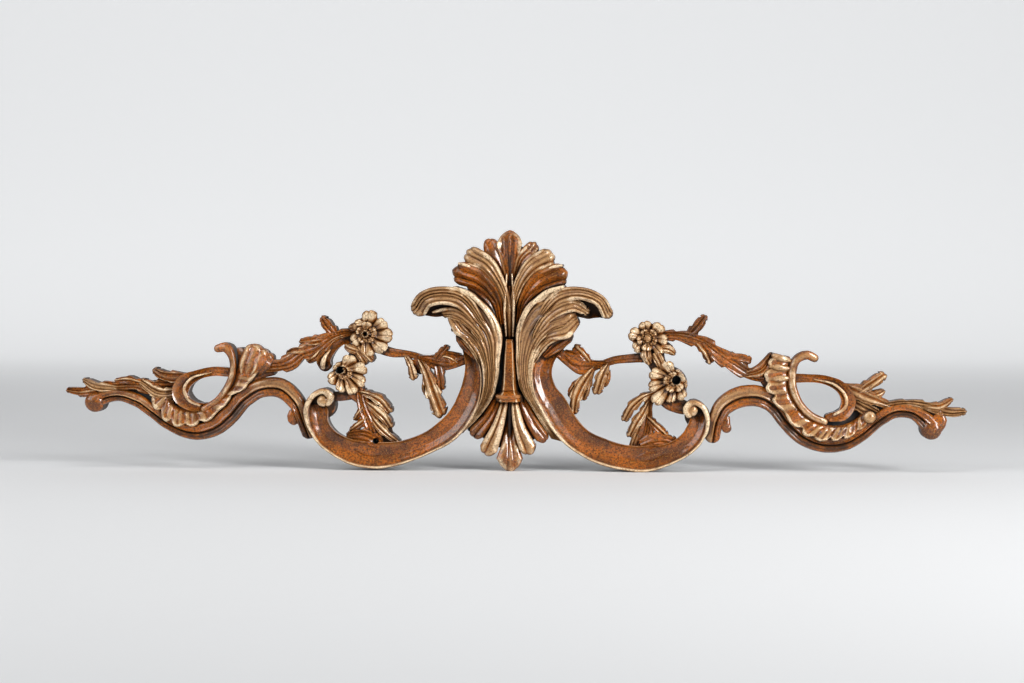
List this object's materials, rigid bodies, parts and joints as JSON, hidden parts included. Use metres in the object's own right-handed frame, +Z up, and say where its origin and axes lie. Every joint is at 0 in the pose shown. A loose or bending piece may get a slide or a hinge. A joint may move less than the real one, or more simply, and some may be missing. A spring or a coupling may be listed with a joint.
{
  "type": "carved headpiece",
  "caption": "Long low openwork headpiece carved in wood: keystone and palmettes between acanthus leaves, with wings of C-scrolls, flower twigs, shells and S-scrolls.",
  "frame": {"origin": "on the flat back, behind the keystone, where the piece is held to the wall", "axes": "+X to the viewer's right along the length, +Y out of the back into the wall, +Z up; the carved front looks to -Y"},
  "size_m": [1.2025, 0.0647, 0.3151],
  "materials": {
    "gilt_wood": "worn water gilding over burnt-orange lacquer, with dark blue-green patina in the hollows"
  },
  "bodies": {
    "root": {"headpiece": "gilt_wood"}
  },
  "joints": []
}
